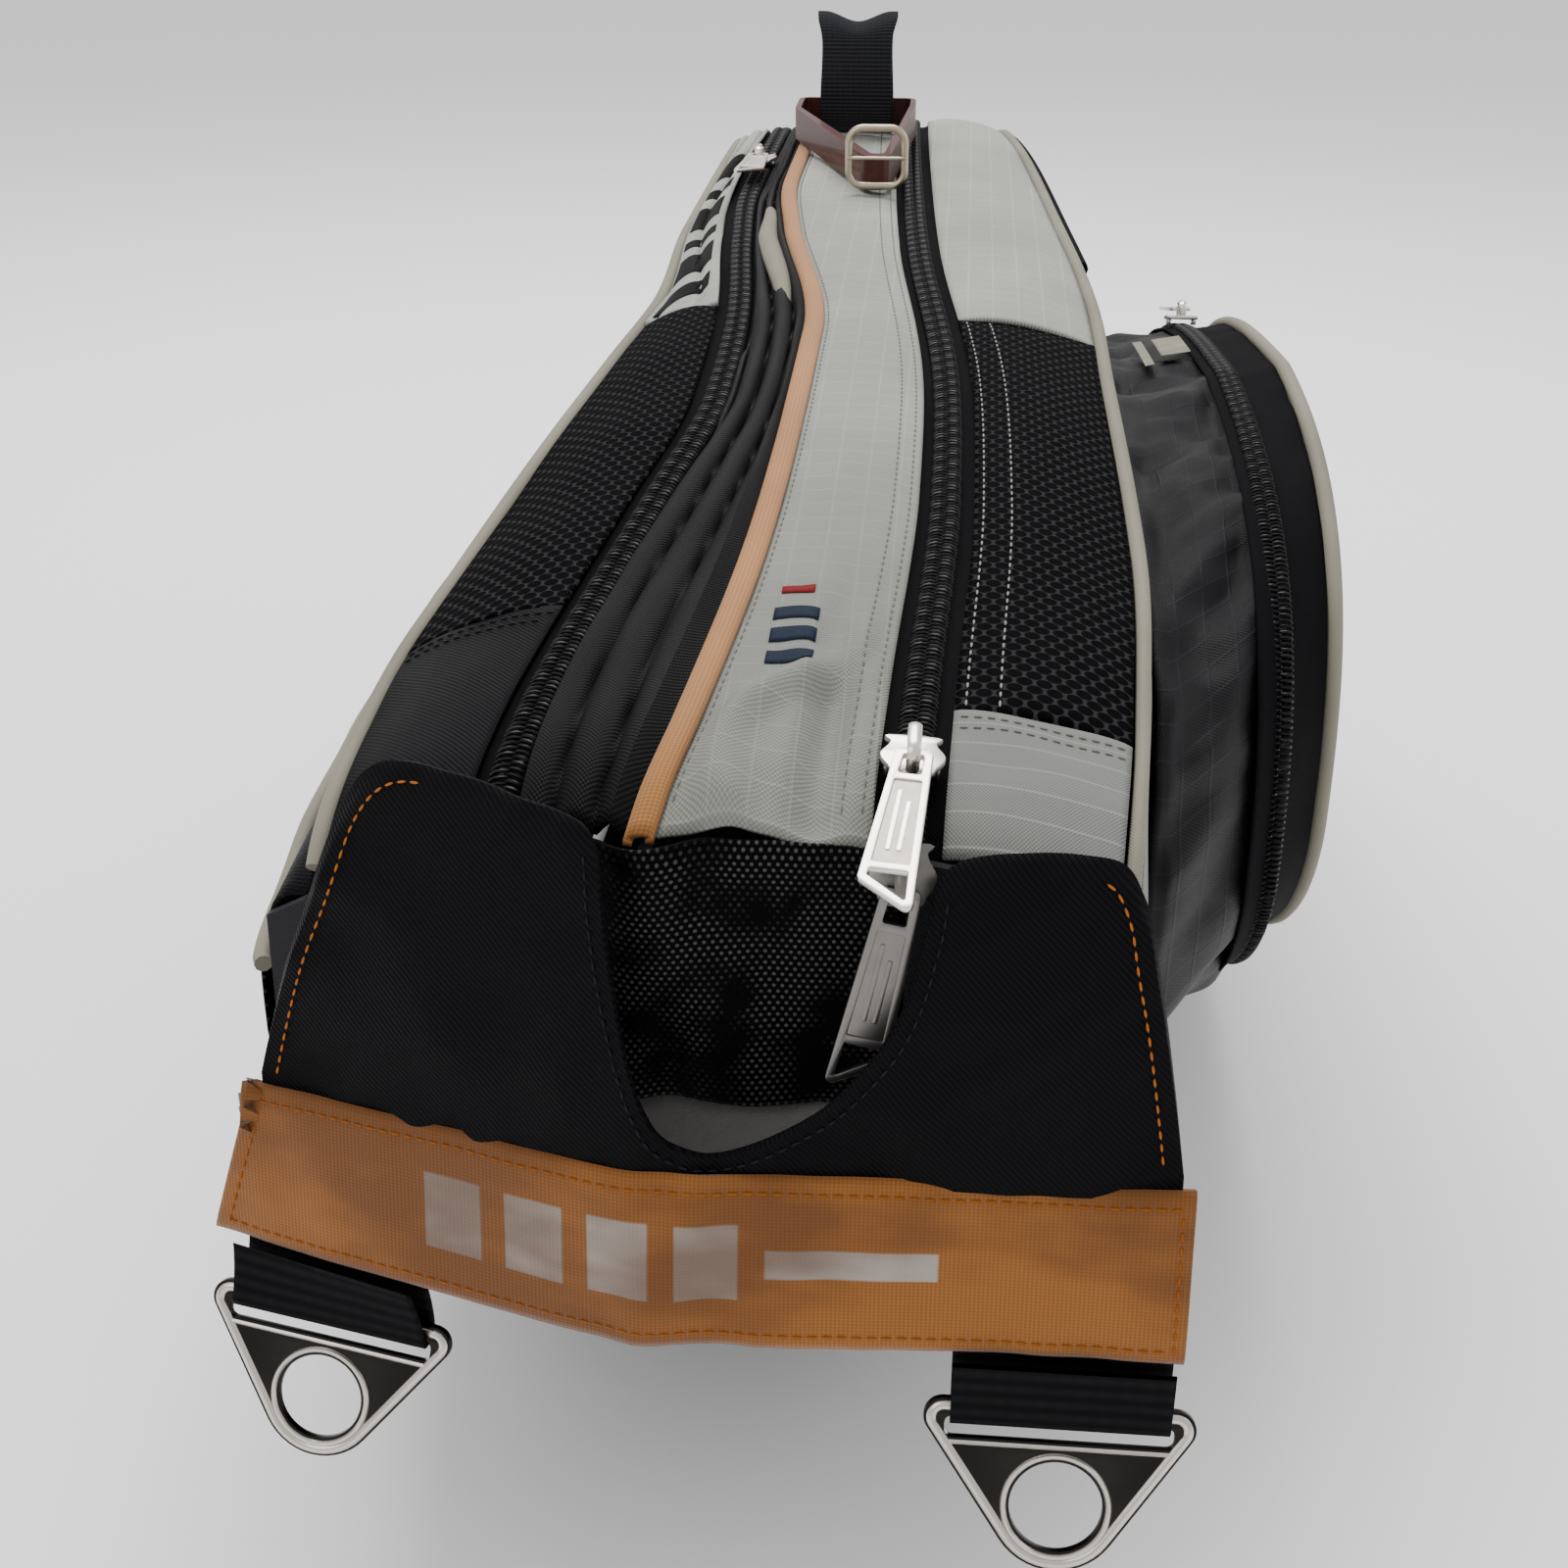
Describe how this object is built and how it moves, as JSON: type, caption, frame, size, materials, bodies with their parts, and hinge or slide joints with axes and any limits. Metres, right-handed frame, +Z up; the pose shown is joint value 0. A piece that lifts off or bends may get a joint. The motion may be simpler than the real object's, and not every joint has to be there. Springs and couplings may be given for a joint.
{
  "type": "racket tournament bag",
  "caption": "Long zipped bag for rackets, narrow at one end, with a padded divider, a bulging side pocket, a strap yoke with triangle rings, and a haul handle.",
  "frame": {"origin": "on the floor, at the middle of the flat stretch of the base under the orange piping", "axes": "+Z up; the bag's narrow end faces -Y, and +X is on the right of somebody who looks at that end"},
  "size_m": [0.3176, 0.7774, 0.3589],
  "materials": {
    "white_ripstop": "off-white coated ripstop weave",
    "cream_vinyl": "cream coated piping",
    "orange_webbing": "orange woven webbing",
    "black_twill": "black twill and webbing",
    "charcoal_twill": "charcoal lining twill",
    "black_mesh": "black spacer mesh",
    "zip_tape": "black zip tape",
    "zip_coil": "black nylon coil",
    "nickel": "satin nickel",
    "maroon_leather": "maroon leather",
    "pale_brass": "pale plated brass",
    "stiffener_board": "pressed board"
  },
  "bodies": {
    "bag_core": {"base_fabric": "black_twill", "base_board": "stiffener_board", "centre_divider": "charcoal_twill", "centre_top_panel": "white_ripstop", "orange_piping": "orange_webbing", "left_fold_panel": "charcoal_twill", "right_tape_inner": "zip_tape", "right_teeth_inner": "zip_coil", "left_tape_inner": "zip_tape", "left_teeth_inner": "zip_coil", "near_end_panel": "black_mesh", "near_end_trim": "white_ripstop", "far_end_panel": "white_ripstop", "right_lower_slider": "nickel"},
    "right_shell": {"right_tape_outer": "zip_tape", "right_teeth_outer": "zip_coil", "right_patch": "white_ripstop", "right_mesh_gusset": "black_mesh", "right_shoulder_panel": "white_ripstop", "right_cream_piping": "cream_vinyl", "right_side_wall": "white_ripstop", "right_near_end": "black_twill", "right_far_end": "black_twill", "right_pocket_gusset": "black_twill", "right_pocket_teeth": "zip_coil"},
    "pocket_lid": {"right_pocket_rim": "zip_tape", "right_pocket_piping": "cream_vinyl", "right_pocket_face": "white_ripstop"},
    "left_shell": {"left_tape_outer": "zip_tape", "left_teeth_outer": "zip_coil", "left_patch": "black_twill", "left_mesh_gusset": "black_mesh", "left_shoulder_panel": "white_ripstop", "left_cream_piping": "cream_vinyl", "left_side_wall": "black_twill", "left_near_end": "black_twill", "left_far_end": "black_twill", "left_mesh_pocket": "black_mesh", "left_pocket_piping": "cream_vinyl"},
    "yoke": {"strap_yoke": "black_twill", "orange_band": "orange_webbing", "right_web_tab": "black_twill", "left_web_tab": "black_twill"},
    "right_ring": {"right_triangle_ring": "nickel"},
    "left_ring": {"left_triangle_ring": "nickel"},
    "right_zip_slider": {"right_slider": "nickel"},
    "right_zip_pull": {"right_pull": "nickel"},
    "right_lower_zip_pull": {"right_lower_pull": "nickel"},
    "left_zip_slider": {"left_slider": "nickel"},
    "left_zip_pull": {"left_pull": "nickel"},
    "pocket_zip_slider": {"pocket_slider": "nickel"},
    "pocket_zip_pull": {"pocket_pull": "nickel"},
    "haul_handle": {"grab_handle": "black_twill"},
    "tag": {"tag_strap": "maroon_leather"},
    "buckle": {"tag_buckle": "pale_brass"},
    "prong": {"tag_prong": "pale_brass"}
  },
  "joints": [
    {"name": "right_shell_open", "type": "hinge", "parent": "bag_core", "child": "right_shell", "pos_m": [0.0905, 0, 0.002], "axis": [0, 1, 0], "range_deg": [0, 20]},
    {"name": "left_shell_open", "type": "hinge", "parent": "bag_core", "child": "left_shell", "pos_m": [-0.1105, 0, 0.002], "axis": [0, -1, 0], "range_deg": [0, 20]},
    {"name": "pocket_lid_open", "type": "hinge", "parent": "right_shell", "child": "pocket_lid", "pos_m": [0.1512, 0, 0.046], "axis": [0, 1, 0], "range_deg": [0, 35]},
    {"name": "yoke_lift", "type": "hinge", "parent": "bag_core", "child": "yoke", "pos_m": [0, -0.372, 0.2485], "axis": [-1, 0, 0], "range_deg": [0, 100]},
    {"name": "right_ring_swing", "type": "hinge", "parent": "yoke", "child": "right_ring", "pos_m": [0.0826, -0.39865, 0.11494], "axis": [-1, 0, 0], "range_deg": [-70, 70]},
    {"name": "left_ring_swing", "type": "hinge", "parent": "yoke", "child": "left_ring", "pos_m": [-0.0915, -0.37574, 0.11116], "axis": [-0.9871, 0.1212, 0.1045], "range_deg": [-70, 38]},
    {"name": "right_slider_run", "type": "slide", "parent": "bag_core", "child": "right_zip_slider", "axis": [0.038, 0.9855, 0.1651], "range_m": [0, 0.07]},
    {"name": "right_pull_turn", "type": "hinge", "parent": "right_zip_slider", "child": "right_zip_pull", "pos_m": [0.04457, -0.34455, 0.25152], "axis": [-1, 0, 0], "range_deg": [0, 10]},
    {"name": "right_lower_pull_swing", "type": "hinge", "parent": "bag_core", "child": "right_lower_zip_pull", "pos_m": [0.04329, -0.37524, 0.23371], "axis": [-1, 0, 0], "range_deg": [-8, 9]},
    {"name": "left_slider_run", "type": "slide", "parent": "bag_core", "child": "left_zip_slider", "axis": [0.009, -0.999, -0.0445], "range_m": [0, 0.07]},
    {"name": "left_pull_turn", "type": "hinge", "parent": "left_zip_slider", "child": "left_zip_pull", "pos_m": [-0.04311, 0.1961, 0.29992], "axis": [-1, 0, 0], "range_deg": [0, 100]},
    {"name": "pocket_slider_run", "type": "slide", "parent": "right_shell", "child": "pocket_zip_slider", "axis": [0, -0.9787, 0.2055], "range_m": [0, 0.03]},
    {"name": "pocket_pull_turn", "type": "hinge", "parent": "pocket_zip_slider", "child": "pocket_zip_pull", "pos_m": [0.14865, 0.14459, 0.24407], "axis": [1, 0, 0], "range_deg": [0, 100]},
    {"name": "handle_tilt", "type": "hinge", "parent": "bag_core", "child": "haul_handle", "pos_m": [-0.001, 0.245, 0.30287], "axis": [-1, 0, 0], "range_deg": [-20, 15]},
    {"name": "tag_lift", "type": "hinge", "parent": "bag_core", "child": "tag", "pos_m": [0, 0.25831, 0.30428], "axis": [-1, 0, 0], "range_deg": [0, 25]},
    {"name": "buckle_swing", "type": "hinge", "parent": "tag", "child": "buckle", "pos_m": [0.00275, 0.11262, 0.31159], "axis": [0, -0.04, -0.9992], "range_deg": [0, 35]},
    {"name": "prong_swing", "type": "hinge", "parent": "buckle", "child": "prong", "pos_m": [0.00275, 0.11022, 0.31148], "axis": [0, -0.04, -0.9992], "range_deg": [0, 18]}
  ],
  "couplings": [
    {"joint": "right_pull_turn", "follows": "right_slider_run", "rad_per_m": 2.4}
  ]
}
